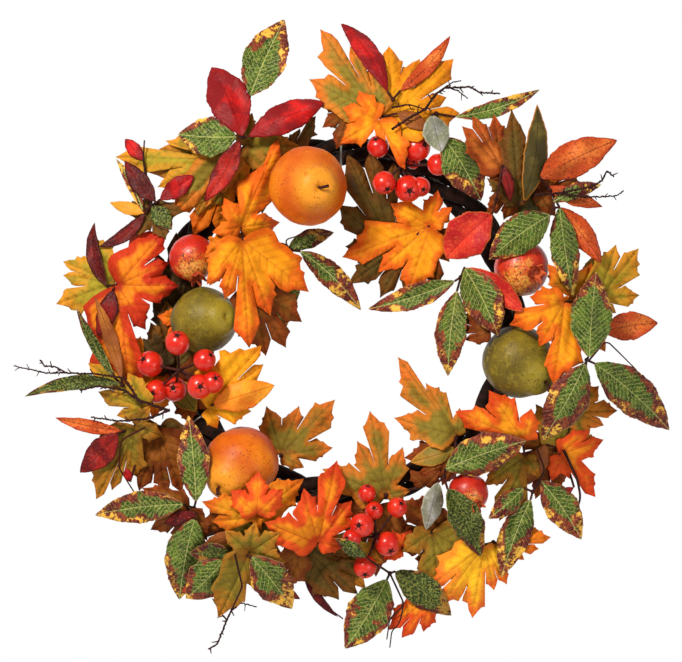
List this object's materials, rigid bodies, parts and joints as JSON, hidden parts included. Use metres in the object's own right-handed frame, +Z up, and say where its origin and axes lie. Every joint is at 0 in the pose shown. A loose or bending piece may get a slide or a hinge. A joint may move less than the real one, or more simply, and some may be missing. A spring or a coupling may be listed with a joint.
{
  "type": "harvest door wreath",
  "caption": "Vine ring wreath with maple and laurel leaf picks, pears, pomegranates, berry sprays and bare twigs, hung from a swinging wire loop.",
  "frame": {"origin": "inside the top of the hanging loop, where the door hook carries it", "axes": "+X to the viewer's right, +Y from the room towards the door (the wreath's back), +Z up"},
  "size_m": [0.6073, 0.1299, 0.5835],
  "materials": {
    "vine": "dark stained vine, matt",
    "wire": "dull galvanised wire",
    "stem": "dark red-brown wrapped stem",
    "maple_leaf": "printed polyester, orange to olive",
    "red_leaf": "printed polyester, red to rust",
    "green_leaf": "printed polyester, green with cream veins and burgundy tips",
    "pear_orange": "painted foam, fine dark speckle",
    "pear_green": "painted foam, olive mottled",
    "pomegranate": "painted foam, red with gold flecks",
    "berry": "lacquered red-orange"
  },
  "bodies": {
    "hanger": {"hanging_loop": "wire"},
    "wreath": {"berries_bottom": "berry", "berries_left": "berry", "berries_top": "berry", "frame_wire": "wire", "hanging_eye": "wire", "laurel_pick_bottom": "green_leaf", "laurel_pick_bottom_left": "green_leaf", "laurel_pick_far_left": "green_leaf", "laurel_pick_inner_left": "green_leaf", "laurel_pick_inner_right": "green_leaf", "laurel_pick_low_left": "green_leaf", "laurel_pick_low_right": "green_leaf", "laurel_pick_low_right_inner": "green_leaf", "laurel_pick_right": "green_leaf", "laurel_pick_top": "green_leaf", "laurel_pick_upper_left": "green_leaf", "laurel_pick_upper_right": "green_leaf", "leaf_pick_far_left": "green_leaf", "leaf_pick_low_left": "green_leaf", "maple_pick_bottom": "maple_leaf", "maple_pick_bottom_right": "maple_leaf", "maple_pick_inner_bottom": "maple_leaf", "maple_pick_inner_left": "maple_leaf", "maple_pick_inner_top": "maple_leaf", "maple_pick_left": "maple_leaf", "maple_pick_left_back": "maple_leaf", "maple_pick_low_inner": "maple_leaf", "maple_pick_low_left": "maple_leaf", "maple_pick_low_left_inner": "maple_leaf", "maple_pick_low_right": "maple_leaf", "maple_pick_low_right_inner": "maple_leaf", "maple_pick_orange_right": "maple_leaf", "maple_pick_red_bottom": "maple_leaf", "maple_pick_right": "maple_leaf", "maple_pick_top": "maple_leaf", "maple_pick_upper_left": "maple_leaf", "maple_pick_upper_right": "maple_leaf", "pear_inner_left": "pear_green", "pear_left": "pear_orange", "pear_left_stem": "stem", "pear_right": "pear_green", "pear_right_stem": "stem", "pear_top": "pear_orange", "pear_top_stem": "stem", "pomegranate_left": "pomegranate", "pomegranate_low": "pomegranate", "pomegranate_right": "pomegranate", "red_pick_inner_right": "red_leaf", "red_pick_top": "red_leaf", "red_pick_upper_right": "red_leaf", "tie_wire_lower_left": "wire", "tie_wire_lower_right": "wire", "twig_bottom": "stem", "twig_left": "stem", "twig_right": "stem", "twig_top_right": "stem", "vine_strand_1": "vine", "vine_strand_2": "vine", "vine_strand_3": "vine"}
  },
  "joints": [
    {"name": "wreath_swing", "type": "hinge", "parent": "hanger", "child": "wreath", "pos_m": [0, 0, -0.0329], "axis": [1, 0, 0], "range_deg": [-20, 0]}
  ]
}
